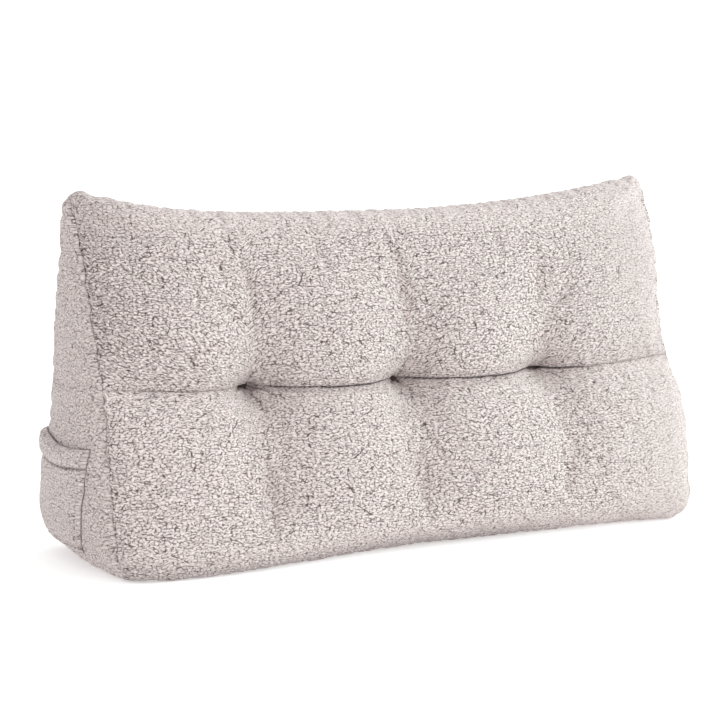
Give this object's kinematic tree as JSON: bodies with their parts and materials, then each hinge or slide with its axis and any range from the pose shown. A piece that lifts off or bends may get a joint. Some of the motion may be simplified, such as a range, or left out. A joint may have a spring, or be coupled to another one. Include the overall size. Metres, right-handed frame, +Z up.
{
  "type": "wedge pillow",
  "caption": "Wide tufted wedge back-rest pillow in curly pile fleece, with a sagging ridge between two ears and a patch pocket on one end.",
  "frame": {"origin": "under the middle of the whole pillow, on the surface it stands on", "axes": "+X along the width, towards the end with no pocket; +Y from the tufted slope towards the back; +Z up"},
  "size_m": [0.9792, 0.3106, 0.5079],
  "materials": {
    "body_fleece": "curly pile fleece, pale pinkish grey, matt",
    "pocket_fleece": "curly pile fleece, pale pinkish grey, matt, pressed smoother along the hem"
  },
  "bodies": {
    "root": {"cushion": "body_fleece", "side_pocket": "pocket_fleece"}
  },
  "joints": []
}
